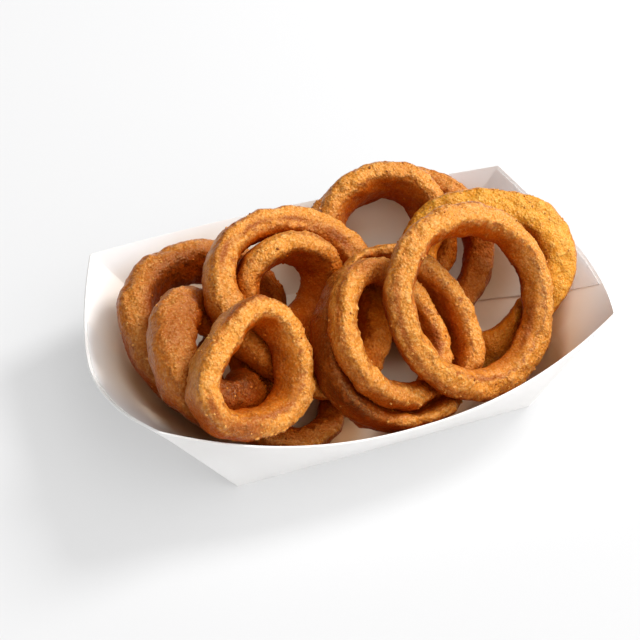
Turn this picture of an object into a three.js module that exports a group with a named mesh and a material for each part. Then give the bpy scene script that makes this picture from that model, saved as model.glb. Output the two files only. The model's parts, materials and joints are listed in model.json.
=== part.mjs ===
// Battered, fried onion rings heaped in a folded paperboard food tray.
// Millimetres, +Z up. X runs along the tray, Y from its front side to its back side.
// The origin lies on the floor under the middle of the tray's base.
import * as THREE from "three";
import { mergeVertices } from "three/addons/utils/BufferGeometryUtils.js";

// The tray's outer faces: a flat oblong base and a rim whose corners stand highest.
const TRAY = {
  baseLength: 110.2,
  baseWidth: 84.6,
  rimLength: 162,
  rimWidth: 90,
  cornerHeight: 40,
  card: 0.6,
  tab: 0.4,
};

// Each wall's rim bows outwards and sags by these amounts at its middle.
// "ease" is the power by which both die away towards the corners.
const WALLS = [
  { name: "front", long: true, side: -1, bow: 15.5, sag: 12.5, ease: 2.16 },
  { name: "right", long: false, side: 1, bow: 14.6, sag: 12.4, ease: 1.75 },
  { name: "back", long: true, side: 1, bow: 17.8, sag: 12.5, ease: 2.16 },
  { name: "left", long: false, side: -1, bow: 12, sag: 12.4, ease: 1.75 },
];

// A glued corner tab doubles part of each end wall on its inner side.
// Its slanting edge runs between these shares of the end wall's half width.
const TAB_EDGE = { atBase: 0.38, atRim: -0.49, stepWidth: 0.016 };

const WALL_ROWS = 3;
const LONG_COLUMNS = 20;
const END_COLUMNS_BESIDE_TAB = 6;

// Every onion ring: "at" is its centre and "facing" the azimuth and elevation of its front face.
// "band" holds half the band's radial width and half its depth, "lean" cones the band forwards.
// "oval" and "lobed" are the cosine and sine shares by which the radius varies.
// "face" is the crust's colour.
// A soft ring is dented where it lies against a ring that stands before it in this list.
const RINGS = [
  {
    name: "ring_front_left",
    at: [-46.5, -33.5, 44],
    facing: [32, 37],
    radius: 17.9,
    band: [5.1, 7.2],
    lean: 14,
    oval: [0.1, 0.04],
    lobed: [-0.07, 0.03],
    face: "#c97f36",
  },
  {
    name: "ring_right_front",
    at: [37.5, -22, 39.5],
    facing: [23, 39],
    radius: 30.1,
    band: [5.4, 5.9],
    lean: 33,
    oval: [0.02, -0.03],
    lobed: [0.01, 0.01],
    furrow: { from: [185, 108], to: [305, 115], depth: 0.6, reach: 20 },
    face: "#cf8a3e",
  },
  {
    name: "ring_middle_small",
    at: [6, -25, 36],
    facing: [44, 42],
    radius: 22.5,
    band: [4.9, 4.7],
    lean: -10,
    oval: [-0.05, -0.03],
    lobed: [-0.03, 0.01],
    furrow: { from: [292, 125], to: [358, 188], depth: 0.9, reach: 24 },
    face: "#cc8438",
  },
  {
    name: "ring_middle_large",
    at: [10.5, -21.5, 29],
    facing: [25, 51],
    radius: 28.1,
    band: [5, 8],
    lean: 0,
    oval: [0.02, 0.02],
    lobed: [-0.03, -0.01],
    face: "#c67c30",
  },
  {
    name: "ring_right_back",
    at: [54, -1, 30],
    facing: [-18, 47],
    radius: 25.7,
    band: [7.6, 4.7],
    lean: 16,
    oval: [-0.02, 0.05],
    lobed: [0.03, 0.08],
    face: "#dd9c42",
  },
  {
    name: "ring_left_inner",
    at: [-21, 7, 37.5],
    facing: [16, 26],
    radius: 15.5,
    band: [5, 9.1],
    lean: 29,
    oval: [0.03, 0],
    lobed: [0.01, 0.01],
    face: "#c87f3a",
  },
  {
    name: "ring_left_large",
    at: [-16.5, 0.5, 37],
    facing: [36, 53],
    radius: 29.7,
    band: [6.9, 5.7],
    lean: -2,
    oval: [-0.02, -0.03],
    lobed: [0.03, 0.03],
    furrow: { from: [5, 160], to: [135, 85], depth: 0.9, reach: 22 },
    face: "#c98138",
  },
  {
    name: "ring_rear_small",
    at: [28, 31.5, 30.5],
    facing: [0, 49],
    radius: 20.8,
    band: [5.4, 9.3],
    lean: 24,
    oval: [0.01, -0.01],
    lobed: [-0.03, 0.01],
    face: "#c8802f",
  },
  {
    name: "ring_rear_large",
    at: [32, 28.5, 22.5],
    facing: [-25, 63],
    radius: 30.9,
    band: [6, 6.1],
    lean: 11,
    oval: [0.02, 0.02],
    lobed: [-0.01, 0.01],
    face: "#c07230",
  },
  {
    name: "ring_left_small",
    at: [-54.5, -15.5, 36.5],
    facing: [66, 52],
    radius: 17.9,
    band: [8.5, 7.1],
    lean: 13,
    oval: [0.06, 0],
    lobed: [-0.05, 0.02],
    face: "#bd7637",
  },
  {
    name: "ring_floor_left",
    at: [-33, -14, 16],
    facing: [45, 67],
    radius: 23.1,
    band: [5.3, 4.6],
    lean: -9,
    oval: [-0.04, 0.03],
    lobed: [0.03, 0],
    face: "#b06a2c",
  },
  {
    name: "ring_far_left",
    at: [-48.5, 12, 23],
    facing: [44, 57],
    radius: 27.2,
    band: [6.6, 8.8],
    lean: 30,
    oval: [0.08, 0.03],
    lobed: [0.06, -0.02],
    face: "#b9702f",
  },
];

// The band's section is a rounded oblong: a superellipse of this power.
const SECTION_POWER = 3;
const SECTION_POINTS = 12;

// Stations round a ring: a fixed number and some more for each millimetre of radius.
const STATIONS = { fixed: 24, perRadius: 0.8 };

// Lumps and crags of the batter, in millimetres off the smooth band.
const CRAGS = { mean: -0.3, height: 0.4 };
const CRAG_WAVES = [
  { share: 0.5, around: 11, across: 2, phase: 1.7 },
  { share: 0.3, around: 7, across: -3, phase: 3.1 },
  { share: 0.2, around: 16, across: 1, phase: 5.3 },
];

// Degrees of the ring over which a furrow fades out at each end.
const FURROW_FADE = 12;

// The gap kept where one ring dents another and the least share of the band that a dent leaves.
// A dent's depth is looked for in strides of this share, then halved this many times.
const DENT = { gap: 1, leastShare: 0.2, stride: 0.1, searches: 6 };

// Corner radius of a band's section, as a share of its smaller half, when distances are taken.
const SECTION_ROUNDING = 0.65;

const CARD_COLOUR = "#f2f0ec";
const DEG = Math.PI / 180;

const lerp = THREE.MathUtils.lerp;

// Collects flat-sided faces and joins them into one closed geometry.
class Skin {
  constructor() {
    this.corners = [];
  }

  triangle(a, b, c) {
    this.corners.push(...a, ...b, ...c);
  }

  quad(a, b, c, d) {
    this.triangle(a, b, c);
    this.triangle(a, c, d);
  }

  geometry() {
    const made = new THREE.BufferGeometry();
    made.setAttribute("position", new THREE.Float32BufferAttribute(this.corners, 3));
    const joined = mergeVertices(made, 1e-4);
    joined.computeVertexNormals();
    return joined;
  }
}

function meshOf(name, geometry, colour, roughness) {
  const material = new THREE.MeshStandardMaterial({ color: colour, roughness, metalness: 0 });
  const mesh = new THREE.Mesh(geometry, material);
  mesh.name = name;
  return mesh;
}

// A point of a wall's outer face: t runs along the wall from -1 to 1, s from base to rim.
function wallPoint(wall, t, s) {
  const swell = 1 - Math.abs(t) ** wall.ease;
  const baseHalf = wall.long
    ? [TRAY.baseLength / 2, TRAY.baseWidth / 2]
    : [TRAY.baseWidth / 2, TRAY.baseLength / 2];
  const rimHalf = wall.long
    ? [TRAY.rimLength / 2, TRAY.rimWidth / 2]
    : [TRAY.rimWidth / 2, TRAY.rimLength / 2];
  const along = t * lerp(baseHalf[0], rimHalf[0], s);
  const out = wall.side * lerp(baseHalf[1], rimHalf[1] + wall.bow * swell, s);
  const up = s * (TRAY.cornerHeight - wall.sag * swell);
  return wall.long
    ? new THREE.Vector3(along, out, up)
    : new THREE.Vector3(out, along, up);
}

// The outward normal there, from small steps that stay on the wall.
function wallNormal(wall, t, s) {
  const step = 1e-3;
  const t0 = Math.max(-1, t - step);
  const t1 = Math.min(1, t + step);
  const s0 = Math.max(0, s - step);
  const s1 = Math.min(1, s + step);
  const alongWall = wallPoint(wall, t1, s).sub(wallPoint(wall, t0, s));
  const upWall = wallPoint(wall, t, s1).sub(wallPoint(wall, t, s0));
  const normal = alongWall.cross(upWall).normalize();
  const outwards = wall.long ? normal.y * wall.side : normal.x * wall.side;
  return outwards < 0 ? normal.negate() : normal;
}

// The tab lies towards the back on the right wall and towards the front on the left one.
function tabEdge(wall, s) {
  return wall.side * lerp(TAB_EDGE.atBase, TAB_EDGE.atRim, s);
}

function wallDepth(wall, t, s) {
  if (wall.long) return TRAY.card;
  const onTab = wall.side * (t - tabEdge(wall, s)) > 0;
  return onTab ? TRAY.card + TRAY.tab : TRAY.card;
}

// The t of every column at height s: even on a long wall, crowded at the tab's edge on an end.
function wallColumns(wall, s) {
  if (wall.long) {
    return Array.from({ length: LONG_COLUMNS + 1 }, (_, i) => (2 * i) / LONG_COLUMNS - 1);
  }
  const edge = tabEdge(wall, s);
  const n = END_COLUMNS_BESIDE_TAB;
  const near = edge - TAB_EDGE.stepWidth / 2;
  const far = edge + TAB_EDGE.stepWidth / 2;
  const columns = [];
  for (let i = 0; i <= n; i++) {
    columns.push(lerp(-1, near, i / n));
  }
  for (let i = 0; i <= n; i++) {
    columns.push(lerp(far, 1, i / n));
  }
  return columns;
}

// The way from an outer point to the inner skin, which lies "depth" inside each given face.
function shiftInwards(faces) {
  const [a, b] = faces;
  if (!b) return a.normal.clone().multiplyScalar(-a.depth);
  const c = faces[2] ?? { normal: a.normal.clone().cross(b.normal), depth: 0 };
  const rows = [a, b, c].flatMap((face) => face.normal.toArray());
  const planes = new THREE.Matrix3().set(...rows).invert();
  return new THREE.Vector3(-a.depth, -b.depth, -c.depth).applyMatrix3(planes);
}

// The wall that meets this one at the corner where t is 1 or -1, and its t there.
function neighbour(wall, t) {
  const other = WALLS.find((w) => w.long !== wall.long && w.side === Math.sign(t));
  return { other, t: wall.side };
}

function innerPoint(wall, t, s) {
  const faces = [{ normal: wallNormal(wall, t, s), depth: wallDepth(wall, t, s) }];
  if (Math.abs(t) === 1) {
    const corner = neighbour(wall, t);
    const normal = wallNormal(corner.other, corner.t, s);
    faces.push({ normal, depth: wallDepth(corner.other, corner.t, s) });
    if (!wall.long) faces.reverse();
  }
  if (s === 0) {
    faces.push({ normal: new THREE.Vector3(0, 0, -1), depth: TRAY.card });
  }
  return wallPoint(wall, t, s).add(shiftInwards(faces));
}

// Rows of points up one wall, each row running round the tray against the clock.
function wallRows(wall, pointAt) {
  const rows = [];
  for (let row = 0; row <= WALL_ROWS; row++) {
    const s = row / WALL_ROWS;
    const points = wallColumns(wall, s).map((t) => pointAt(wall, t, s).toArray());
    const clockwise = wall.long ? wall.side > 0 : wall.side < 0;
    rows.push(clockwise ? points.reverse() : points);
  }
  return rows;
}

function addWallSkins(skin, outer, inner) {
  for (let row = 0; row < WALL_ROWS; row++) {
    for (let i = 0; i + 1 < outer[row].length; i++) {
      const [low, high] = [outer[row], outer[row + 1]];
      skin.quad(low[i], low[i + 1], high[i + 1], high[i]);
      const [lowIn, highIn] = [inner[row], inner[row + 1]];
      skin.quad(lowIn[i + 1], lowIn[i], highIn[i], highIn[i + 1]);
    }
  }
}

function addRimAndBase(skin, outer, inner) {
  const top = WALL_ROWS;
  const under = [0, 0, 0];
  const floor = [0, 0, TRAY.card];
  for (let i = 0; i + 1 < outer[0].length; i++) {
    skin.quad(outer[top][i], outer[top][i + 1], inner[top][i + 1], inner[top][i]);
    skin.triangle(under, outer[0][i + 1], outer[0][i]);
    skin.triangle(floor, inner[0][i], inner[0][i + 1]);
  }
}

function tray() {
  const skin = new Skin();
  for (const wall of WALLS) {
    const outer = wallRows(wall, wallPoint);
    const inner = wallRows(wall, innerPoint);
    addWallSkins(skin, outer, inner);
    addRimAndBase(skin, outer, inner);
  }
  return meshOf("tray", skin.geometry(), CARD_COLOUR, 0.85);
}

// The turn that lays a ring's axis, the local Z, along the normal of its front face.
function facingTurn(ring) {
  const azimuth = ring.facing[0] * DEG;
  const elevation = ring.facing[1] * DEG;
  const normal = new THREE.Vector3(
    Math.sin(azimuth) * Math.cos(elevation),
    -Math.cos(azimuth) * Math.cos(elevation),
    Math.sin(elevation),
  );
  const level = new THREE.Vector3(Math.cos(azimuth), Math.sin(azimuth), 0);
  const upFace = normal.clone().cross(level);
  return new THREE.Matrix4().makeBasis(level, upFace, normal);
}

function radiusAt(ring, angle) {
  const oval = ring.oval[0] * Math.cos(2 * angle) + ring.oval[1] * Math.sin(2 * angle);
  const lobed = ring.lobed[0] * Math.cos(3 * angle) + ring.lobed[1] * Math.sin(3 * angle);
  return ring.radius * (1 + oval + lobed);
}

// One coordinate of the superellipse, with the sign of the cosine or sine it comes from.
function squared(value) {
  return Math.sign(value) * Math.abs(value) ** (2 / SECTION_POWER);
}

function cragsAt(angle, section, seed) {
  let height = 0;
  for (const wave of CRAG_WAVES) {
    const turn = wave.around * angle + wave.across * section + wave.phase * seed;
    height += wave.share * Math.sin(turn);
  }
  return CRAGS.mean + CRAGS.height * height;
}

// How deep the ring's furrow is at this place: a soft groove that wanders across the band.
function furrowAt(ring, angle, section) {
  if (!ring.furrow) return 0;
  const { from, to, depth, reach } = ring.furrow;
  const place = angle / DEG;
  const inside = Math.min(place - from[0], to[0] - place) / FURROW_FADE;
  const strength = THREE.MathUtils.clamp(inside, 0, 1);
  const middle = lerp(from[1], to[1], (place - from[0]) / (to[0] - from[0]));
  const off = (section / DEG - middle) / reach;
  return depth * strength * Math.exp(-off * off);
}

// A point of the band about the ring's own axis, at an angle round the ring and round the section.
function ringPoint(ring, angle, section, seed) {
  const across = ring.band[0] * squared(Math.cos(section));
  const along = ring.band[1] * squared(Math.sin(section));
  const relief = cragsAt(angle, section, seed) - furrowAt(ring, angle, section);
  const grown = 1 + relief / Math.hypot(across, along);
  const lean = ring.lean * DEG;
  const out = grown * (across * Math.cos(lean) + along * Math.sin(lean));
  const forward = grown * (along * Math.cos(lean) - across * Math.sin(lean));
  const reach = radiusAt(ring, angle) + out;
  return [reach * Math.cos(angle), reach * Math.sin(angle), forward];
}

// Where the ring stands in the heap, and the way back from the heap to its own axis.
function placeOf(ring) {
  const place = facingTurn(ring);
  place.setPosition(...ring.at);
  return place;
}

// How far a point in the ring's own frame lies outside its band: negative inside.
function outsideBand(ring, local) {
  const angle = Math.atan2(local.y, local.x);
  const out = Math.hypot(local.x, local.y) - radiusAt(ring, angle);
  const lean = ring.lean * DEG;
  const across = Math.abs(out * Math.cos(lean) - local.z * Math.sin(lean));
  const along = Math.abs(out * Math.sin(lean) + local.z * Math.cos(lean));
  const corner = SECTION_ROUNDING * Math.min(...ring.band);
  const overWidth = across - (ring.band[0] - corner);
  const overDepth = along - (ring.band[1] - corner);
  const rounded = Math.hypot(Math.max(overWidth, 0), Math.max(overDepth, 0));
  return rounded + Math.min(Math.max(overWidth, overDepth), 0) - corner;
}

// The share of the way from the band's core to a point before the other ring is met.
function freeShare(core, point, other) {
  const clear = (share) => {
    const local = core.clone().lerp(point, share).applyMatrix4(other.back);
    return outsideBand(other.ring, local) >= DENT.gap;
  };
  let low = DENT.leastShare;
  let high = DENT.leastShare;
  while (clear(high)) {
    if (high === 1) return 1;
    low = high;
    high = Math.min(1, high + DENT.stride);
  }
  for (let i = 0; i < DENT.searches; i++) {
    const middle = (low + high) / 2;
    if (clear(middle)) low = middle;
    else high = middle;
  }
  return low;
}

// Draws a point of the band back towards the band's core where other rings press on it.
function dented(ring, angle, point, others) {
  const place = placeOf(ring);
  const radius = radiusAt(ring, angle);
  const core = new THREE.Vector3(radius * Math.cos(angle), radius * Math.sin(angle), 0);
  const coreInHeap = core.clone().applyMatrix4(place);
  const inHeap = new THREE.Vector3(...point).applyMatrix4(place);
  const shares = others.map((other) => freeShare(coreInHeap, inHeap, other));
  const share = Math.min(1, ...shares);
  return core.lerp(new THREE.Vector3(...point), share).toArray();
}

function onionRing(ring, seed) {
  const others = RINGS.slice(0, seed - 1).map((other) => {
    return { ring: other, back: placeOf(other).invert() };
  });
  const stations = Math.round(STATIONS.fixed + STATIONS.perRadius * ring.radius);
  const loops = [];
  for (let i = 0; i < stations; i++) {
    const angle = (2 * Math.PI * i) / stations;
    const loop = [];
    for (let j = 0; j < SECTION_POINTS; j++) {
      const section = (2 * Math.PI * j) / SECTION_POINTS;
      const point = ringPoint(ring, angle, section, seed);
      loop.push(dented(ring, angle, point, others));
    }
    loops.push(loop);
  }
  const skin = new Skin();
  for (let i = 0; i < stations; i++) {
    const here = loops[i];
    const next = loops[(i + 1) % stations];
    for (let j = 0; j < SECTION_POINTS; j++) {
      const k = (j + 1) % SECTION_POINTS;
      skin.quad(here[j], next[j], next[k], here[k]);
    }
  }
  const mesh = meshOf(ring.name, skin.geometry(), ring.face, 0.75);
  mesh.position.set(...ring.at);
  mesh.quaternion.setFromRotationMatrix(facingTurn(ring));
  return mesh;
}

const part = new THREE.Group();
part.name = "onion_rings_in_tray";
part.add(tray());
RINGS.forEach((ring, index) => part.add(onionRing(ring, index + 1)));

export default part;
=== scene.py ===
# %% [markdown]
# # A paper tray of fried onion rings
#
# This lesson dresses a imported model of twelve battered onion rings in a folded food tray.
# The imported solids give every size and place. Blender adds what they leave out: the crumbly crust,
# the browning from the hot oil, loose crumbs, the soft folds of the card, the light and the camera.
# Everything is in metres, with X along the tray, Y to its back and Z up.

import json
import math
import random

import bmesh
import bpy
import numpy as np
from mathutils import Matrix, Vector, noise
from mathutils.bvhtree import BVHTree


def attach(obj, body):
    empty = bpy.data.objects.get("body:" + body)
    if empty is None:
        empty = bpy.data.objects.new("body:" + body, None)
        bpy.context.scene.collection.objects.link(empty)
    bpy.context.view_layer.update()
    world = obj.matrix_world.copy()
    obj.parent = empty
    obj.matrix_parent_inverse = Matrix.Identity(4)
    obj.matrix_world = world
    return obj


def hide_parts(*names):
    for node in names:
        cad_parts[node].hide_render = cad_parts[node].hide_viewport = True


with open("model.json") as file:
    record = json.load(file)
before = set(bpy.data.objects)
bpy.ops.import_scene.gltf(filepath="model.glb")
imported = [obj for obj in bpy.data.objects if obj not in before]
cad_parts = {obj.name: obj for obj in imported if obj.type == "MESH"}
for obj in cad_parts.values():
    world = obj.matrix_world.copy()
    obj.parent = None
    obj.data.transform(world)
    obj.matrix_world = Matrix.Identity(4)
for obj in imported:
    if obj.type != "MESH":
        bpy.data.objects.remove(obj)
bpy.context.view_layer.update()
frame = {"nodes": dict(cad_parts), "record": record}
MM = 0.001
rings = sorted(name for name in frame["nodes"] if name.startswith("ring_"))

# %% [markdown]
# ## Camera
#
# A product photo of a small dish is taken with a short telephoto lens from well above the table.
# The tray's corners and folds fix the camera: its direction, its small tilt to one side, its
# distance and its lens. Building the camera from those few numbers is easier to check than a
# pasted matrix.

# %% The camera
AZIMUTH = math.radians(-21.923)
ELEVATION = math.radians(43.359)
ROLL = math.radians(1.765)
DISTANCE = 0.50468
AIM = Vector((0.000166, 0.02522, 0.0))
NEAREST_SEEN = 0.01
# the lens and the width of the sensor are in millimetres, as cameras state them
LENS = 74.04
SENSOR = 36


def camera_axes():
    """Right, up and back of the camera, rolled about its own view line."""
    flat = math.cos(ELEVATION)
    back = Vector((math.sin(AZIMUTH) * flat, -math.cos(AZIMUTH) * flat, math.sin(ELEVATION)))
    right = Vector((math.cos(AZIMUTH), math.sin(AZIMUTH), 0))
    up = back.cross(right)
    rolled_right = right * math.cos(ROLL) + up * math.sin(ROLL)
    rolled_up = up * math.cos(ROLL) - right * math.sin(ROLL)
    return rolled_right, rolled_up, back


def add_camera():
    """The scene's camera, at its distance from the point that it aims at."""
    right, up, back = camera_axes()
    data = bpy.data.cameras.new("camera")
    data.lens = LENS
    data.sensor_width = SENSOR
    data.clip_start = NEAREST_SEEN
    camera = bpy.data.objects.new("camera", data)
    turn = Matrix((right, up, back)).transposed().to_4x4()
    camera.matrix_world = Matrix.Translation(AIM + back * DISTANCE) @ turn
    bpy.context.scene.collection.objects.link(camera)
    bpy.context.scene.camera = camera
    return camera


camera = add_camera()
print("camera at", [round(v, 3) for v in camera.matrix_world.translation])

# %% [markdown]
# ## Small helpers
#
# A finished piece sits at the origin with its place in its mesh. One helper makes an object from a
# bmesh, and one bakes its modifiers into the mesh, so that nothing live is left on it. A third
# writes a number on each vertex, which is how the shapes below tell the materials what they are.

# %% Objects from bmeshes
def object_from(bm, name, material=None):
    """A smoothly shaded scene object holding the bmesh, which is freed."""
    mesh = bpy.data.meshes.new(name)
    bm.to_mesh(mesh)
    bm.free()
    for polygon in mesh.polygons:
        polygon.use_smooth = True
    made = bpy.data.objects.new(name, mesh)
    bpy.context.scene.collection.objects.link(made)
    if material:
        mesh.materials.append(material)
    return made


def bake_modifiers(made):
    """Replaces the object's mesh by what its modifiers make of it."""
    graph = bpy.context.evaluated_depsgraph_get()
    baked = bpy.data.meshes.new_from_object(made.evaluated_get(graph))
    old = made.data
    made.modifiers.clear()
    made.data = baked
    bpy.data.meshes.remove(old)
    baked.name = made.name
    return made


def attribute_on(mesh, name, values):
    """One number for each vertex, which a material can read by name."""
    layer = mesh.attributes.new(name, "FLOAT", "POINT")
    layer.data.foreach_set("value", np.asarray(values, np.float32))


# %% [markdown]
# ## Shader groups
#
# The shades of crust differ in colour and not in kind, so the grain and the browning are node
# groups, built once, with named inputs. A group gives out only colours, masks and heights, and the
# Principled shader stays in each material.

# %% Helpers that make nodes
def new_group(name, inputs, outputs):
    """A shader group, the sockets of what it is given, and the node that takes its results."""
    group = bpy.data.node_groups.new(name, "ShaderNodeTree")
    for label, kind, value in inputs:
        socket = group.interface.new_socket(label, in_out="INPUT", socket_type=kind)
        socket.default_value = value
    for label, kind in outputs:
        group.interface.new_socket(label, in_out="OUTPUT", socket_type=kind)
    given = group.nodes.new("NodeGroupInput").outputs
    return group, given, group.nodes.new("NodeGroupOutput")


def new_material(name):
    """A material, its node tree and its Principled shader."""
    material = bpy.data.materials.new(name)
    material.use_nodes = True
    tree = material.node_tree
    return material, tree, tree.nodes["Principled BSDF"]


def add_node(tree, kind, **settings):
    """A node with its own properties set."""
    node = tree.nodes.new(kind)
    for key, value in settings.items():
        setattr(node, key, value)
    return node


def plug(tree, value, socket):
    """Links the value to the socket if it is a socket too, and sets it there if it is plain."""
    if isinstance(value, bpy.types.NodeSocket):
        tree.links.new(value, socket)
    else:
        socket.default_value = value


def feed(tree, node, **inputs):
    """Links or sets a node's inputs by name: spaces are written as underscores."""
    for key, value in inputs.items():
        plug(tree, value, node.inputs[key.replace("_", " ")])


def read_attribute(tree, name):
    """The number that the mesh has on each vertex under this name."""
    return add_node(tree, "ShaderNodeAttribute", attribute_name=name).outputs["Fac"]


def object_place(tree):
    """Where a point of the surface is, in the piece's own coordinates."""
    return tree.nodes.new("ShaderNodeTexCoord").outputs["Object"]


# %% Helpers that do sums
def math_node(tree, operation, *values, clamp=False):
    """The result of a math node for sockets or numbers."""
    node = add_node(tree, "ShaderNodeMath", operation=operation, use_clamp=clamp)
    for value, socket in zip(values, node.inputs):
        plug(tree, value, socket)
    return node.outputs["Value"]


def times(tree, product, *factors):
    """The product of sockets and numbers."""
    for factor in factors:
        product = math_node(tree, "MULTIPLY", product, factor)
    return product


def one_less(tree, value, share):
    """1 less a share of the value."""
    return math_node(tree, "MULTIPLY_ADD", value, -share, 1.0)


def spread(tree, value, low, high):
    """Stretches low to high of a value to 0 to 1, with soft ends. It falls where low is larger."""
    node = add_node(tree, "ShaderNodeMapRange", interpolation_type="SMOOTHSTEP")
    feed(tree, node, Value=value, From_Min=low, From_Max=high)
    return node.outputs["Result"]


def scale_for(tree, size):
    """The scale of a texture whose lumps are about size metres wide."""
    if isinstance(size, bpy.types.NodeSocket):
        return math_node(tree, "DIVIDE", 1.0, size)
    return 1 / size


def noise_at(tree, place, size, **settings):
    """Perlin noise whose lumps are about size metres wide."""
    node = add_node(tree, "ShaderNodeTexNoise")
    feed(tree, node, Vector=place, Scale=scale_for(tree, size), **settings)
    return node.outputs["Fac"]


# %% Helpers that mix colours
# a Mix node has sockets for every kind of data: these are its factor, its two colours, its result
MIX_INPUTS = (0, 6, 7)
MIX_RESULT = 2


def mix_colours(tree, share, first, second, blend="MIX"):
    """The first colour with a share of the second over it."""
    node = add_node(tree, "ShaderNodeMix", data_type="RGBA", blend_type=blend)
    for index, value in zip(MIX_INPUTS, (share, first, second)):
        plug(tree, value, node.inputs[index])
    return node.outputs[MIX_RESULT]


def lay_over(tree, colour, layers):
    """A colour with layers over it, from the lowest up: each is its share and its colour."""
    for share, layer in layers:
        colour = mix_colours(tree, share, colour, layer)
    return colour


# %% The batter's grain, as a group
def batter_grain():
    """Small crumbs of fried batter: a height for the bump, and masks of tips, pits and sand."""
    group, given, results = new_group(
        "batter_grain",
        [("Crumb size", "NodeSocketFloat", 0.9 * MM)],
        [(label, "NodeSocketFloat") for label in ("Height", "Tips", "Pits", "Sand")],
    )
    place = object_place(group)
    cells = add_node(group, "ShaderNodeTexVoronoi", feature="F1")
    feed(group, cells, Vector=place, Scale=scale_for(group, given["Crumb size"]))
    sand = noise_at(group, place, given["Crumb size"], Detail=3.0, Roughness=0.6)
    # each cell has a random colour, whose parts are two draws of a lot for the crumb in it
    lots = add_node(group, "ShaderNodeSeparateColor")
    feed(group, lots, Color=cells.outputs["Color"])
    tall, dark = lots.outputs["Red"], lots.outputs["Green"]
    dome = math_node(group, "SUBTRACT", 1.0, cells.outputs["Distance"])
    crumb = times(group, dome, math_node(group, "ADD", tall, 0.4))
    height = math_node(group, "ADD", crumb, sand)
    tips = times(group, spread(group, dome, 0.4, 0.85), spread(group, tall, 0.45, 0.9))
    pits = times(group, spread(group, dome, 0.35, 0.7), spread(group, dark, 0.72, 0.95))
    feed(group, results, Height=height, Tips=tips, Pits=pits, Sand=sand)
    return group


grain_group = batter_grain()
print("group", grain_group.name, "built")

# %% The browning from the oil, as a group
def fry_browning():
    """Colour of the crust: golden, browner in broad patches and along its edges, with painted shade
    in the hollows of its relief.
    """
    group, given, results = new_group(
        "fry_browning",
        [
            ("Pale", "NodeSocketColor", (0.8, 0.5, 0.2, 1)),
            ("Golden", "NodeSocketColor", (0.7, 0.3, 0.06, 1)),
            ("Deep", "NodeSocketColor", (0.3, 0.08, 0.01, 1)),
            ("Relief", "NodeSocketFloat", 0.5),
            ("Edge", "NodeSocketFloat", 0.0),
            ("Patch size", "NodeSocketFloat", 9 * MM),
        ],
        [("Color", "NodeSocketColor"), ("Browned", "NodeSocketFloat")],
    )
    place = object_place(group)
    patch = {"Detail": 3.0, "Roughness": 0.6, "Distortion": 0.4}
    browned = spread(group, noise_at(group, place, given["Patch size"], **patch), 0.52, 0.74)
    lifted = spread(group, given["Relief"], 0.45, 0.95)
    # painted shade: the hollows of the relief darker
    sunk_shade = spread(group, given["Relief"], 0.4, 0.18)
    specks = spread(group, noise_at(group, place, 2.2 * MM), 0.42, 0.66)
    layers = [
        (times(group, lifted, 0.5), given["Pale"]),
        (times(group, browned, 0.35), given["Deep"]),
        (times(group, sunk_shade, 0.45), given["Deep"]),
        (times(group, given["Edge"], specks, 0.9), given["Deep"]),
    ]
    colour = lay_over(group, given["Golden"], layers)
    feed(group, results, Color=colour, Browned=browned)
    return group


browning_group = fry_browning()
print("group", browning_group.name, "built")

# %% [markdown]
# ## The crust
#
# Fried batter is a thin, uneven, slightly oily shell. Its outer crest and cut faces are granular
# and golden. The wall of the hole and the outer side, where the batter ran thin, are smoother and
# amber. Shade is painted into the colour: the crust is darker and redder on its undersides and
# where other rings shelter it, and the amber wall shows most there. The mesh carries all this as
# numbers on each vertex: relief, wall, the edge between wall and crest, the painted shade of the
# undersides, shelter, and the marks of browning and painted shade. The material only reads them,
# so that light crumbs fall where the real relief is, with painted shade in its hollows, and one
# material serves every ring of its shade.

# %% Colours of the crust
VERTEX_NUMBERS = ("relief", "wall", "edge", "downward_shade", "shelter", "singe_and_shade")
# painted shade: where other rings shelter the crust and where its wall faces down, the crust's
# colour is multiplied by this
PAINTED_SHADE_TINT = (0.63, 0.28, 0.04, 1)
# the dark brown of burnt batter, which the marks also lay as painted shade
BURNT_AND_SHADE = (0.13, 0.022, 0.002, 1)
# linear colours of each shade: its pale crumbs, golden crust, deep brown and smooth wall
SHADES = {
    "crust_golden": {
        "pale": (0.87, 0.49, 0.165, 1), "golden": (0.69, 0.25, 0.027, 1),
        "deep": (0.32, 0.066, 0.004, 1), "wall": (0.52, 0.132, 0.005, 1),
    },
    "crust_yellow": {
        "pale": (0.86, 0.5, 0.12, 1), "golden": (0.71, 0.275, 0.016, 1),
        "deep": (0.5, 0.14, 0.005, 1), "wall": (0.66, 0.19, 0.004, 1),
    },
    "crust_brown": {
        "pale": (0.77, 0.39, 0.12, 1), "golden": (0.55, 0.172, 0.018, 1),
        "deep": (0.28, 0.058, 0.004, 1), "wall": (0.46, 0.105, 0.004, 1),
    },
    "crust_crumb_browned": {
        "pale": (0.6, 0.24, 0.05, 1), "golden": (0.34, 0.085, 0.008, 1),
        "deep": (0.2, 0.04, 0.004, 1), "wall": (0.3, 0.06, 0.004, 1),
    },
}
print("shades:", ", ".join(SHADES))

# %% Layers of the crust's colour
# how much of the wall's own amber shows in the open, and how much where it lies in painted shade
OPEN_WALL, SHADED_WALL = 0.35, 0.9


def wall_layer(tree, at, browned, wall, deep):
    """The smooth wall, browned in broad patches, its amber strongest in painted shade: where other
    rings shelter it and where it faces down.
    """
    wall_shade = math_node(tree, "MAXIMUM", spread(tree, at["shelter"], 0.05, 0.5), at["downward_shade"])
    amber = math_node(tree, "MULTIPLY_ADD", wall_shade, SHADED_WALL - OPEN_WALL, OPEN_WALL)
    return times(tree, at["wall"], amber), mix_colours(tree, times(tree, browned, 0.6), wall, deep)


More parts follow.
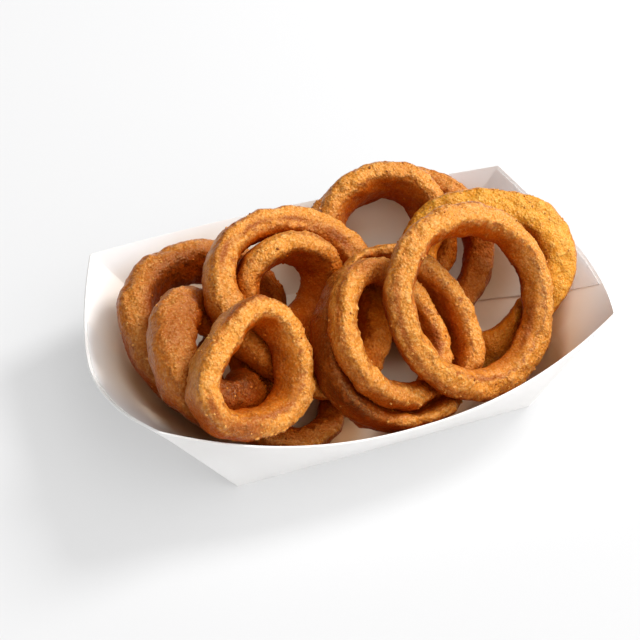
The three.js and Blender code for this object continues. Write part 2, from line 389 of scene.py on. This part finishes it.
def fryer_and_shade_layers(tree, at, broken, toast_and_shade, pale, deep):
    """The crisp edge, then the marks: toasted, burnt and left pale, where many dark marks are
    painted shade.
    """
    burn_and_shade = spread(tree, at["singe_and_shade"], 0.4, 1.0)
    left_pale = math_node(tree, "MULTIPLY", at["singe_and_shade"], -0.8, clamp=True)
    return [
        (times(tree, at["edge"], broken, 0.42), BURNT_AND_SHADE),
        (toast_and_shade, deep),
        (times(tree, burn_and_shade, broken), BURNT_AND_SHADE),
        (times(tree, left_pale, broken), pale),
    ]


def grain_layers(tree, grain, crumbly, rugged, pale, deep):
    """Light and dark sand, the pale tips of crumbs and the dark pits between them."""
    light = spread(tree, grain["Sand"], 0.48, 0.66)
    dark = spread(tree, grain["Sand"], 0.5, 0.34)
    return [
        (times(tree, light, 0.4, crumbly), pale),
        (times(tree, dark, 0.3, rugged), deep),
        (times(tree, grain["Tips"], 0.25, crumbly), pale),
        (times(tree, grain["Pits"], 0.3, rugged), deep),
    ]


# %% Crust materials
PATCH_SIZE = 13 * MM
CRUMB_SIZE = 0.9 * MM
# the most deep colour that a mark brings, as browning and as painted shade
MOST_TOAST_AND_SHADE = 0.9
# the most painted shade on a wall that faces down
MOST_DOWNWARD_SHADE = 0.9
MOST_SHINE = 0.38
# how much of its grain the crust loses on a smooth wall, and under a mark of browning and painted
# shade
WALL_LOSS, MARK_LOSS = 0.45, 0.65


def crust_material(name, pale, golden, deep, wall):
    """Fried batter in one shade."""
    material, tree, shader = new_material(name)
    at = {label: read_attribute(tree, label) for label in VERTEX_NUMBERS}
    browning = add_node(tree, "ShaderNodeGroup", node_tree=browning_group)
    feed(tree, browning, Pale=pale, Golden=golden, Deep=deep, Patch_size=PATCH_SIZE)
    feed(tree, browning, Relief=at["relief"], Edge=at["edge"])
    grain_node = add_node(tree, "ShaderNodeGroup", node_tree=grain_group)
    feed(tree, grain_node, Crumb_size=CRUMB_SIZE)
    grain = grain_node.outputs

    broken = spread(tree, noise_at(tree, object_place(tree), 1.6 * MM, Detail=3.0), 0.3, 0.62)
    # the marks darken the crust: partly browning, partly painted shade from neighbouring rings
    singed_and_shaded = math_node(tree, "MULTIPLY", at["singe_and_shade"], 2.0, clamp=True)
    toast_and_shade = times(tree, singed_and_shaded, MOST_TOAST_AND_SHADE)
    rugged = one_less(tree, at["wall"], WALL_LOSS)
    crumbly = times(tree, rugged, one_less(tree, toast_and_shade, MARK_LOSS))
    layers = [wall_layer(tree, at, browning.outputs["Browned"], wall, deep)]
    layers += fryer_and_shade_layers(tree, at, broken, toast_and_shade, pale, deep)
    layers += grain_layers(tree, grain, crumbly, rugged, pale, deep)
    colour = lay_over(tree, browning.outputs["Color"], layers)

    # painted shade: darker and redder where the wall faces down and where other rings shelter the
    # crust, with less shine there
    underside_shade = times(tree, at["wall"], at["downward_shade"], MOST_DOWNWARD_SHADE)
    painted_shade = math_node(tree, "MAXIMUM", underside_shade, spread(tree, at["shelter"], 0.14, 0.95))
    colour = mix_colours(tree, painted_shade, colour, PAINTED_SHADE_TINT, blend="MULTIPLY")
    shine = times(tree, spread(tree, painted_shade, 1.0, 0.0), MOST_SHINE)
    bump = add_node(tree, "ShaderNodeBump")
    height = times(tree, grain["Height"], rugged)
    feed(tree, bump, Height=height, Strength=0.8, Distance=0.45 * MM)
    feed(tree, shader, Base_Color=colour, Normal=bump.outputs["Normal"], Roughness=0.36)
    feed(tree, shader, Specular_IOR_Level=shine, Specular_Tint=(1.0, 0.74, 0.42, 1))
    feed(tree, shader, Subsurface_Weight=0.16, Subsurface_Scale=1.5 * MM)
    feed(tree, shader, Subsurface_Radius=(1.0, 0.35, 0.08))
    return material


crusts = {name: crust_material(name, **colours) for name, colours in SHADES.items()}
print("crust materials:", ", ".join(crusts))

# %% [markdown]
# ## The rings
#
# Each ring starts as a merged copy of its imported solid, so its form and place are the solid's.
# Pairs of triangles are joined to quads, which a Subdivision Surface rounds. Noise along the
# normals then raises the batter: lumps of a few millimetres, crags, and crumbs just large enough
# to see.
#
# Rings in a heap hide each other from air and light. Short rays from each corner of the coarse mesh
# count how much of its outlook other batter fills. The smoothing then spreads that number evenly,
# and the material paints shade with it.

# %% How sheltered a place is
SHELTER_RAYS = 40
SHELTER_REACH = 60 * MM
RAY_LIFT = 0.3 * MM


def food_tree():
    """All packed rings in one search tree, to ask what is near the food or hidden by it."""
    bm = bmesh.new()
    for node in rings:
        bm.from_mesh(frame["nodes"][node].data)
    tree = BVHTree.FromBMesh(bm)
    bm.free()
    return tree


food = food_tree()


def cap_directions(count):
    """Directions spread over the half sphere above Z, denser towards Z as diffuse light counts."""
    golden_turn = math.pi * (3 - math.sqrt(5))
    found = []
    for i in range(count):
        radius = math.sqrt((i + 0.5) / count)
        turn = i * golden_turn
        rise = math.sqrt(1 - radius * radius)
        found.append(Vector((radius * math.cos(turn), radius * math.sin(turn), rise)))
    return found


def shelter_on(mesh):
    """Marks each vertex with the share of its outlook that other batter fills."""
    cap = cap_directions(SHELTER_RAYS)
    shares = []
    for vert in mesh.vertices:
        turn = vert.normal.to_track_quat("Z", "Y")
        start = vert.co + vert.normal * RAY_LIFT
        hits = sum(food.ray_cast(start, turn @ way, SHELTER_REACH)[0] is not None for way in cap)
        shares.append(hits / SHELTER_RAYS)
    attribute_on(mesh, "shelter", shares)


# %% A smooth copy of a packed ring
SAME_CORNER = 0.005 * MM
JOINED_ANGLE = math.radians(80)
SUBDIVISIONS = 3


def smooth_copy(node):
    """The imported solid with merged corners, quads for triangles and rounded facets."""
    bm = bmesh.new()
    bm.from_mesh(frame["nodes"][node].data)
    bmesh.ops.remove_doubles(bm, verts=bm.verts, dist=SAME_CORNER)
    bmesh.ops.join_triangles(
        bm, faces=bm.faces, angle_face_threshold=JOINED_ANGLE, angle_shape_threshold=JOINED_ANGLE
    )
    made = object_from(bm, node + "_crust")
    shelter_on(made.data)
    rounding = made.modifiers.new("rounding", "SUBSURF")
    rounding.levels = SUBDIVISIONS
    rounding.render_levels = SUBDIVISIONS
    return bake_modifiers(made)


# %% Where a vertex is on its ring
def vertex_rows(mesh):
    """The places and the normals of a mesh's vertices, a row each."""
    points = np.empty(len(mesh.vertices) * 3)
    normals = np.empty(len(mesh.vertices) * 3)
    mesh.vertices.foreach_get("co", points)
    mesh.vertex_normals.foreach_get("vector", normals)
    return points.reshape(-1, 3), normals.reshape(-1, 3)


def ring_axis(points):
    """Centre and axis of a ring: the axis is the direction in which its points spread least."""
    centre = points.mean(axis=0)
    directions = np.linalg.svd(points - centre, full_matrices=False)[2]
    axis = directions[2]
    return centre, axis if axis[2] > 0 else -axis


def step_between(values, low, high):
    """0 below low, 1 above high and a soft step between them."""
    share = np.clip((values - low) / (high - low), 0, 1)
    return share * share * (3 - 2 * share)


def wall_shares(points, normals, centre, axis, ragged):
    """How far each vertex is on a smooth wall: that of the hole, or a little less the outer one."""
    out = points - centre
    out -= np.outer(out @ axis, axis)
    out /= np.linalg.norm(out, axis=1, keepdims=True)
    outwards = np.sum(normals * out, axis=1)
    forwards = normals @ axis
    hole = step_between(-outwards + ragged, 0.1, 0.85)
    behind = 1 - step_between(forwards + ragged, 0.25, 0.8)
    side = step_between(outwards + ragged, 0.2, 0.9) * behind
    return np.maximum(hole, 0.9 * side)


# %% Batter relief along the normals
# how high the lumps, crags and crumbs stand, and how wide they are
LUMP, LUMP_WIDTH = 0.9 * MM, 8 * MM
CRAG, CRAG_WIDTH = 0.7 * MM, 3.1 * MM
CRUMB, CRUMB_WIDTH = 0.45 * MM, 1.1 * MM
CRUMB_SPREAD = 0.05
SWELL = 0.05 * MM
WALL_CALM = 0.5
# the fine relief that the material reads: its level, and what crags and crumbs add to it
FINE_LEVEL, FINE_CRAG, FINE_CRUMB = 0.42, 0.2, 0.8
SEED_STEPS = (3.1, 1.7, 2.3)


def batter_heights(points, wall, seed):
    """Relief height at each point and its fine part from 0 to 1, calmer on the smooth walls."""
    shift = Vector([seed * step for step in SEED_STEPS])
    heights = np.empty(len(points))
    fine = np.empty(len(points))
    for i, point in enumerate(points):
        place = Vector(point)
        lump = noise.noise(place / LUMP_WIDTH + shift)
        crag = noise.noise(place / CRAG_WIDTH + shift)
        crumb = max(0.0, noise.noise(place / CRUMB_WIDTH + shift) + CRUMB_SPREAD)
        calm = 1 - WALL_CALM * wall[i]
        heights[i] = SWELL + LUMP * lump + calm * (CRAG * crag + CRUMB * crumb)
        fine[i] = FINE_LEVEL + FINE_CRAG * crag + FINE_CRUMB * crumb
    return heights, np.clip(fine, 0, 1)


# %% [markdown]
# ## Marks of browning and painted shade
#
# Batter browns most where it touched the basket or another ring, and along thin ridges. Many of
# the dark marks below are painted shade instead, where a neighbouring ring shades the crust. A
# table lists them for each ring by direction, which keeps them on the crust whatever the ring's
# place in the heap.

# %% Marks of browning and of painted shade
# Each mark is the ring's clock direction and the direction round its band, both in degrees, then
# how far it spreads in each, and how strongly it darkens the crust: some marks are browning, others
# painted shade. A negative strength makes it paler.
BROWNING_AND_SHADE_MARKS = {
    "ring_right_front": [
        (357, 207, 12, 20, 0.8), (135, 124, 4, 12, 1.0), (246, 112, 16, 9, 0.6),
        (160, 45, 30, 14, 0.5), (215, 40, 34, 14, 0.5), (310, 156, 36, 20, 0.6),
        (338, 110, 24, 22, -0.35),
    ],
    "ring_middle_small": [
        (312, 142, 18, 22, 0.7), (120, 25, 40, 12, 0.5), (75, 66, 16, 40, 0.42),
        (275, 20, 30, 14, 0.4), (212, 61, 40, 40, 0.28),
    ],
    "ring_middle_large": [
        (145, 40, 40, 30, 0.3), (195, 65, 28, 60, 0.9), (240, 20, 30, 24, 0.3),
    ],
    "ring_left_large": [
        (117, 70, 10, 12, 0.7), (90, 90, 14, 10, 0.65), (55, 98, 14, 10, 0.65),
        (15, 108, 14, 16, 0.6), (100, 35, 26, 12, 0.5), (24, 100, 24, 34, 0.15),
        (150, 60, 26, 40, 0.14),
    ],
    "ring_front_left": [
        (72, 34, 30, 16, 0.75), (175, 60, 10, 12, 0.65), (216, 85, 20, 20, 0.3),
        (210, 61, 26, 34, 0.55), (245, 115, 40, 14, 0.5), (125, 150, 40, 12, 0.5),
        (300, 60, 20, 20, 0.15), (290, 115, 34, 40, 0.16),
    ],
    "ring_far_left": [
        (167, 50, 40, 34, 0.3), (72, 92, 30, 34, 0.5), (150, 62, 26, 14, -0.4),
        (108, 116, 60, 32, 0.75), (100, 170, 60, 30, 0.45),
    ],
    "ring_left_small": [(60, 105, 50, 60, 0.42), (105, 55, 26, 34, 0.35), (205, 110, 40, 80, 1.0)],
    "ring_right_back": [(265, 100, 40, 70, 0.45), (40, 60, 30, 30, -0.4), (5, 130, 30, 16, 0.25)],
    "ring_rear_small": [(100, 165, 50, 24, -0.25), (60, 60, 20, 20, 0.15), (150, 60, 24, 24, 0.15)],
    "ring_rear_large": [(120, 60, 30, 40, 0.2)],
    "ring_floor_left": [(120, 60, 90, 120, 0.6)],
}
# degrees of turn whose cross-section is measured as one
SECTOR = 10
print("marks:", {node: len(marks) for node, marks in BROWNING_AND_SHADE_MARKS.items()})


def band_directions(points, centre, axis):
    """For each point, its clock direction round the ring and its direction round the band."""
    level = np.cross((0, 0, 1), axis)
    level /= np.linalg.norm(level)
    flat = points - centre
    height = flat @ axis
    across, up = flat @ level, flat @ np.cross(axis, level)
    turn = np.degrees(np.arctan2(up, across)) % 360
    radius = np.hypot(across, up)
    sector = (turn // SECTOR).astype(int)
    round_band = np.zeros(len(points))
    for k in range(360 // SECTOR):
        inside = sector == k
        section = np.stack([radius[inside], height[inside]], axis=1)
        low, high = section.min(axis=0), section.max(axis=0)
        shares = (section - (low + high) / 2) / (high - low)
        round_band[inside] = np.degrees(np.arctan2(shares[:, 1], shares[:, 0])) % 360
    return turn, round_band


def singe_and_shade_of(node, turn, round_band):
    """How much each vertex is darkened by the ring's marks of browning and painted shade, or made
    paler below 0.
    """
    singe_and_shade = np.zeros(len(turn))
    for at_turn, at_round, long, wide, strength in BROWNING_AND_SHADE_MARKS.get(node, ()):
        off_turn = (turn - at_turn + 180) % 360 - 180
        off_round = (round_band - at_round + 180) % 360 - 180
        singe_and_shade += strength * np.exp(-((off_turn / long) ** 2) - (off_round / wide) ** 2)
    return np.clip(singe_and_shade, -1, 1)


# %% Build one ring's crust
# how far the border between wall and crest strays, and over what length
BORDER_WANDER = 0.45
BORDER_WAVE = 2.6 * MM


def batter_ring(node, seed):
    """A ring's crust: the smoothed solid, raised by its relief, with a number for each feature."""
    made = smooth_copy(node)
    mesh = made.data
    points, normals = vertex_rows(mesh)
    centre, axis = ring_axis(points)
    ragged = BORDER_WANDER * np.array([noise.noise(Vector(p) / BORDER_WAVE) for p in points])
    wall = wall_shares(points, normals, centre, axis, ragged)
    heights, fine = batter_heights(points, wall, seed)
    moved = points + normals * heights[:, None]
    mesh.vertices.foreach_set("co", moved.ravel())
    attribute_on(mesh, "relief", fine)
    attribute_on(mesh, "wall", wall)
    attribute_on(mesh, "edge", 4 * wall * (1 - wall))
    # painted shade on the parts that face down
    attribute_on(mesh, "downward_shade", step_between(0.3 * ragged - normals[:, 2], -0.6, 0.3))
    # the marks: browning, and painted shade where neighbouring rings shade the crust
    attribute_on(mesh, "singe_and_shade", singe_and_shade_of(node, *band_directions(points, centre, axis)))
    mesh.update()
    return made


# %% Dress every ring
slot_of = {row["node"]: row["material_slot"] for row in frame["record"]["subparts"]}
crust_of = {}
for seed, node in enumerate(rings, start=1):
    made = batter_ring(node, seed)
    made.data.materials.append(crusts[slot_of[node]])
    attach(made, "root")
    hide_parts(node)
    crust_of[node] = made
print("ring faces:", {n: len(o.data.polygons) for n, o in crust_of.items()})

# %% [markdown]
# ## Loose crumbs
#
# Bits of batter fry on to the crust and stand off it by up to a millimetre, which breaks the
# rings' outlines. Each is a small lumpy icosphere sunk half way into the crust. All pale ones are
# one piece and all browned ones another, so that the scene stays light.

# %% Crumbs on the crust
LOOSE_SIZES = (0.22 * MM, 0.5 * MM)
# how much more painted shade a crumb gets than the crust under it, how far it is lifted out as a
# share of its size, and how lumpy it is
LOOSE_SHADE = 0.12
LOOSE_LIFT = 0.15
LOOSE_LUMP, LOOSE_LUMP_WIDTH = 0.35, 0.6 * MM
# for each kind: how many a ring has, their relief for the material, their material, and the seed
LOOSE_KINDS = {
    "pale": (100, 0.8, "crust_golden", 11),
    "browned": (10, 0.2, "crust_crumb_browned", 12),
}


def crumb_on(bm, place, normal, size, draw):
    """One flattened, lumpy crumb, half sunk at a point of the crust. Gives its vertex count."""
    turn = normal.to_track_quat("Z", "Y").to_matrix().to_4x4()
    spin = Matrix.Rotation(draw.uniform(0, 2 * math.pi), 4, "Z")
    shape = Matrix.Diagonal((size * draw.uniform(0.8, 1.5), size, size * draw.uniform(0.6, 1.0), 1))
    at = Matrix.Translation(place + normal * size * LOOSE_LIFT)
    made = bmesh.ops.create_icosphere(bm, subdivisions=2, radius=1, matrix=at @ turn @ spin @ shape)
    for vert in made["verts"]:
        lump = noise.noise(vert.co / LOOSE_LUMP_WIDTH) * LOOSE_LUMP
        vert.co = place.lerp(vert.co, 1 + lump)
    return len(made["verts"])


def crumbs_of_ring(crust, count, draw):
    """Crumbs at random on a ring's granular faces: their mesh, and each vertex's shelter for its
    painted shade.
    """
    mesh = crust.data
    walls = mesh.attributes["wall"].data
    shelters = mesh.attributes["shelter"].data
    shares = []
    bm = bmesh.new()
    while count:
        vert = mesh.vertices[draw.randrange(len(mesh.vertices))]
        if walls[vert.index].value > draw.uniform(0.2, 1.1):
            continue
        size = draw.uniform(*LOOSE_SIZES)
        corners = crumb_on(bm, vert.co.copy(), vert.normal.copy(), size, draw)
        shares += [min(1.0, shelters[vert.index].value + LOOSE_SHADE)] * corners
        count -= 1
    made = bpy.data.meshes.new("crumbs")
    bm.to_mesh(made)
    bm.free()
    return made, shares


def crumb_piece(kind, count, relief, crust, seed):
    """All crumbs of one kind as one piece."""
    draw = random.Random(seed)
    bm = bmesh.new()
    shelter = []
    for node in rings:
        crumbs, shares = crumbs_of_ring(crust_of[node], count, draw)
        shelter += shares
        bm.from_mesh(crumbs)
        bpy.data.meshes.remove(crumbs)
    made = object_from(bm, "crumbs_" + kind, crusts[crust])
    attribute_on(made.data, "relief", [relief] * len(shelter))
    attribute_on(made.data, "shelter", shelter)
    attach(made, "root")
    return made


crumbs = [crumb_piece(kind, *facts) for kind, facts in LOOSE_KINDS.items()]
print("crumb faces:", {o.name: len(o.data.polygons) for o in crumbs})

# %% [markdown]
# ## The tray
#
# The tray is one cut sheet of bleached card. Its base stays flat, its walls bow because the rims
# are cut in an arc, and the corners are folded and glued. A good way to model folded card is to
# start from the base as a grid, extrude its border row by row, and put each new row on the ruled
# surface between the straight base fold and the curved rim. The folds are then bevelled a little,
# as card never folds to a knife edge, and a Solidify gives the sheet its thickness.

# %% Card materials
# near the food the card is partly oil-stained and partly painted with warm light bounced from the
# rings; the darker second colour is painted shade close to them, in place of their contact shadow
OIL_AND_BOUNCE_TINT = (0.8, 0.55, 0.3, 1)
SOAKED_AND_SHADE = (0.48, 0.25, 0.11, 1)
FIBRE_SIZE = 0.45 * MM


def card_fibre():
    """Fibres of pressed card: a tint that wanders a little and a fine height."""
    group, given, results = new_group(
        "card_fibre",
        [("Fibre size", "NodeSocketFloat", 0.5 * MM)],
        [("Tint", "NodeSocketFloat"), ("Height", "NodeSocketFloat")],
    )
    place = object_place(group)
    fibres = noise_at(group, place, given["Fibre size"], Detail=3.0, Roughness=0.6)
    broad = noise_at(group, place, 22 * MM, Detail=1.0)
    feed(group, results, Tint=broad, Height=fibres)
    return group


fibre_group = card_fibre()


def card_material(name, colour, shade):
    """Bleached card, warmer and darker near the food: partly an oil stain, partly painted warm
    bounce light and painted shade.
    """
    material, tree, shader = new_material(name)
    fibre = add_node(tree, "ShaderNodeGroup", node_tree=fibre_group)
    feed(tree, fibre, Fibre_size=FIBRE_SIZE)
    oil_and_shade = read_attribute(tree, "oil_and_shade")
    layers = [
        (spread(tree, fibre.outputs["Tint"], 0.3, 0.75), shade),
        (oil_and_shade, OIL_AND_BOUNCE_TINT),
        (spread(tree, oil_and_shade, 0.5, 0.9), SOAKED_AND_SHADE),
    ]
    bump = add_node(tree, "ShaderNodeBump")
    feed(tree, bump, Height=fibre.outputs["Height"], Strength=0.12, Distance=0.05 * MM)
    feed(tree, shader, Base_Color=lay_over(tree, colour, layers), Normal=bump.outputs["Normal"])
    feed(tree, shader, Roughness=0.6, Specular_IOR_Level=0.35)
    feed(tree, shader, Subsurface_Weight=0.5, Subsurface_Scale=0.8 * MM)
    feed(tree, shader, Subsurface_Radius=(1, 1, 1))
    return material


card = card_material("card_white", (0.88, 0.87, 0.86, 1), (0.84, 0.825, 0.81, 1))
card_edge = card_material("card_cut_edge", (0.93, 0.92, 0.9, 1), (0.9, 0.88, 0.85, 1))
print("card materials:", card.name, card_edge.name)

# %% The tray's form
HALF_BASE = (55.1 * MM, 42.3 * MM)
HALF_RIM = (81 * MM, 45 * MM)
CORNER_HEIGHT = 40 * MM
CARD = 0.6 * MM
# bow, sag and ease of each wall: how far its rim swells out and drops, and by what power both fade
FRONT = (15.5 * MM, 12.5 * MM, 2.16)
BACK = (17.8 * MM, 12.5 * MM, 2.16)
RIGHT = (14.6 * MM, 12.4 * MM, 1.75)
LEFT = (12.0 * MM, 12.4 * MM, 1.75)
X, Y = 0, 1
ON_BORDER = 1 - 1e-5


def blend(a, b, share):
    return a + (b - a) * share


def on_wall(u, v, s):
    """Where a point of the base's border, u and v from -1 to 1, lies at share s of the wall."""
    long_wall = abs(v) > ON_BORDER
    along, axis, side = (u, X, v) if long_wall else (v, Y, u)
    bow, sag, ease = (BACK if v > 0 else FRONT) if long_wall else (RIGHT if u > 0 else LEFT)
    swell = 1 - min(1.0, abs(along)) ** ease
    length = blend(HALF_BASE[axis], HALF_RIM[axis], s) * along
    out = blend(HALF_BASE[1 - axis], HALF_RIM[1 - axis] + bow * swell, s) * side
    height = s * (CORNER_HEIGHT - sag * swell)
    return Vector((length, out, height)) if long_wall else Vector((out, length, height))


# %% Fold the tray from its base
BASE_CELLS = (56, 40)
WALL_ROWS = 14
FOLD_WIDTH = 0.45 * MM
SHARP = math.radians(30)
CLOSE = 1e-4


def folded_sheet():
    """The outer skin of the tray as a bmesh: a base grid with its border extruded up by rows."""
    bm = bmesh.new()
    bmesh.ops.create_grid(bm, x_segments=BASE_CELLS[0], y_segments=BASE_CELLS[1], size=1)
    blank = bm.verts.layers.float_vector.new("blank")
    for vert in bm.verts:
        vert[blank] = vert.co.copy()
    rim = [edge for edge in bm.edges if edge.is_boundary]
    for vert in bm.verts:
        vert.co = Vector((vert.co.x * HALF_BASE[0], vert.co.y * HALF_BASE[1], 0))
    for row in range(1, WALL_ROWS + 1):
        grown = bmesh.ops.extrude_edge_only(bm, edges=rim)["geom"]
        rim = [item for item in grown if isinstance(item, bmesh.types.BMEdge)]
        for vert in {vert for edge in rim for vert in edge.verts}:
            vert.co = on_wall(vert[blank].x, vert[blank].y, row / WALL_ROWS)
    return bm, blank


def fold_edges(bm, blank):
    """The creases: the base's four sides and the four corner folds."""
    found = []
    for edge in bm.edges:
        a, b = (vert[blank] for vert in edge.verts)
        at_side = [abs(abs(a[i]) - 1) < CLOSE and abs(a[i] - b[i]) < CLOSE for i in (0, 1)]
        low = all(vert.co.z < CLOSE * MM for vert in edge.verts)
        inside = len(edge.link_faces) == 2
        if inside and (any(at_side) if low else all(at_side)):
            found.append(edge)
    return found


def thicken(made, thickness, offset, even=False):
    """Gives a sheet of card its thickness and its cut edge, and keeps its corners crisp."""
    made.data.materials.append(card_edge)
    sheet = made.modifiers.new("card", "SOLIDIFY")
    sheet.thickness = thickness
    sheet.offset = offset
    sheet.use_even_offset = even
    sheet.material_offset_rim = 1
    bake_modifiers(made)
    made.data.set_sharp_from_angle(angle=SHARP)


def paper_tray():
    """The folded tray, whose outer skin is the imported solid's and whose card grows inwards."""
    bm, blank = folded_sheet()
    folds = fold_edges(bm, blank)
    print("fold edges:", len(folds))
    bmesh.ops.bevel(
        bm, geom=folds, offset=FOLD_WIDTH, offset_type="OFFSET", segments=2, profile=0.5,
        affect="EDGES", material=-1,
    )
    bmesh.ops.recalc_face_normals(bm, faces=bm.faces)
    base = min(bm.faces, key=lambda face: face.calc_center_median().length)
    if base.normal.z > 0:
        bmesh.ops.reverse_faces(bm, faces=bm.faces)
    made = object_from(bm, "tray_card", card)
    thicken(made, CARD, offset=-1, even=True)
    return made


# %% Oil stain, painted bounce light and painted shade on the card
# how far stain and painted shade reach from the food and fade, their most, and the height where they
# end
OIL_AND_SHADE_REACH, OIL_AND_SHADE_FADE = 18 * MM, 1.5
OIL_AND_SHADE_MOST = 0.95
OIL_AND_SHADE_TOP = 33 * MM
FOOD_MIDDLE = Vector((0, 0, 30 * MM))


def clamped(value):
    return min(1.0, max(0.0, value))


def oil_and_shade_card(made):
    """Marks the card's inner side by how near the food is, for its oil stain and painted shade."""
    oil_and_shade = []
    for vert in made.data.vertices:
        inwards = vert.normal.dot((FOOD_MIDDLE - vert.co).normalized())
        distance = food.find_nearest(vert.co)[3]
        low = clamped((OIL_AND_SHADE_TOP - vert.co.z) / (OIL_AND_SHADE_TOP / 2))
        inside = clamped(inwards * 4) * low
        oil_and_shade.append(OIL_AND_SHADE_MOST * inside * math.exp(-((distance / OIL_AND_SHADE_REACH) ** OIL_AND_SHADE_FADE)))
    attribute_on(made.data, "oil_and_shade", oil_and_shade)


tray = paper_tray()
oil_and_shade_card(tray)
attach(tray, "root")
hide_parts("tray")
print("tray faces:", len(tray.data.polygons))

# %% [markdown]
# ## Corner tabs
#
# Inside each end wall a tab from the neighbouring long wall is glued flat. It shows as a slanting
# step, a card's thickness high. It is a thin sheet on the wall's inner face, with its own edge.

# %% The glued tabs
TAB = 0.4 * MM
TAB_CELLS = (28, 16)
# where the slanting edge starts and ends, the tab's far end and its lowest and highest row
TAB_AT_BASE, TAB_AT_RIM = 0.38, -0.49
TAB_END = 0.985
TAB_LOW, TAB_HIGH = 0.03, 0.975
GLUE = 0.05 * MM
STEP = 1e-3


def inner_face(side, along, s, depth):
    """A point on an end wall, set in from the outer skin by depth."""
    here = on_wall(side, along, s)
    sideways = on_wall(side, min(1 - STEP, along + STEP), s) - on_wall(side, along - STEP, s)
    upwards = on_wall(side, along, s + STEP) - on_wall(side, along, s - STEP)
    normal = sideways.cross(upwards).normalized()
    if normal.x * side < 0:
        normal.negate()
    return here - normal * depth


def corner_tab(name, side):
    """The tab on the inner face of one end wall, from its slanting edge to the corner."""
    bm = bmesh.new()
    bmesh.ops.create_grid(bm, x_segments=TAB_CELLS[0], y_segments=TAB_CELLS[1], size=1)
    for vert in bm.verts:
        s = blend(TAB_LOW, TAB_HIGH, (vert.co.y + 1) / 2)
        edge = blend(TAB_AT_BASE, TAB_AT_RIM, s)
        along = side * blend(edge, TAB_END, (vert.co.x + 1) / 2)
        vert.co = inner_face(side, along, s, CARD + GLUE)
    made = object_from(bm, name, card)
    thicken(made, TAB, offset=0)
    oil_and_shade_card(made)
    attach(made, "root")
    return made


tabs = [corner_tab("tray_tab_right", 1), corner_tab("tray_tab_left", -1)]
print("tabs:", [tab.name for tab in tabs])

# %% [markdown]
# ## Floor and light
#
# The object stands on a white sheet under one broad, soft lamp from the right and a bright white
# room. The sheet isn't part of the object.

# %% The white sheet
WHITE = (1, 1, 1, 1)
# how bright the sheet glows as the camera sees it, and in the light that it casts on the food
GLOW_SEEN = 0.328
GLOW_CAST = 0.46
HALF_SHEET = 6


def add_floor():
    """A glowing white sheet with a soft shadow on it."""
    bm = bmesh.new()
    bmesh.ops.create_grid(bm, x_segments=1, y_segments=1, size=HALF_SHEET)
    material, tree, shader = new_material("floor_white")
    seen = tree.nodes.new("ShaderNodeLightPath").outputs["Is Camera Ray"]
    glow = math_node(tree, "MULTIPLY_ADD", seen, GLOW_SEEN - GLOW_CAST, GLOW_CAST)
    feed(tree, shader, Base_Color=(0.45, 0.45, 0.452, 1), Roughness=0.9, Specular_IOR_Level=0.0)
    feed(tree, shader, Emission_Color=WHITE, Emission_Strength=glow)
    made = object_from(bm, "floor", material)
    return made


floor = add_floor()
print("stage:", floor.name)

# %% Soft studio light
KEY_TURN = math.radians(12)
KEY_HEIGHT = math.radians(44)
KEY_DISTANCE = 1.3
KEY_SIZE = 0.45
KEY_WATTS = 13
ROOM_DIM, ROOM_BRIGHT = 0.14, 2.2
BRIGHT_SIDE = Vector((0.36, -0.46, 0.81))


def add_key():
    """A round lamp aimed at the middle of the heap."""
    data = bpy.data.lights.new("key", "AREA")
    data.shape = "DISK"
    data.size = KEY_SIZE
    data.energy = KEY_WATTS
    flat = math.cos(KEY_HEIGHT)
    away = Vector((math.cos(KEY_TURN) * flat, math.sin(KEY_TURN) * flat, math.sin(KEY_HEIGHT)))
    lamp = bpy.data.objects.new("key", data)
    lamp.location = FOOD_MIDDLE + away * KEY_DISTANCE
    lamp.rotation_euler = away.to_track_quat("Z", "Y").to_euler()
    bpy.context.scene.collection.objects.link(lamp)


def bright_side_room():
    """A room that is dim all round and rises to bright on one side, like a large reflector."""
    world = bpy.data.worlds.new("room")
    world.use_nodes = True
    tree = world.node_tree
    direction = tree.nodes.new("ShaderNodeTexCoord").outputs["Generated"]
    towards = add_node(tree, "ShaderNodeVectorMath", operation="DOT_PRODUCT")
    plug(tree, direction, towards.inputs[0])
    plug(tree, BRIGHT_SIDE.normalized(), towards.inputs[1])
    rise = spread(tree, towards.outputs["Value"], 0.45, 1.0)
    strength = math_node(tree, "MULTIPLY_ADD", rise, ROOM_BRIGHT - ROOM_DIM, ROOM_DIM)
    feed(tree, tree.nodes["Background"], Color=WHITE, Strength=strength)
    return world


add_key()
bpy.context.scene.world = bright_side_room()
bpy.context.scene.view_settings.view_transform = "Standard"
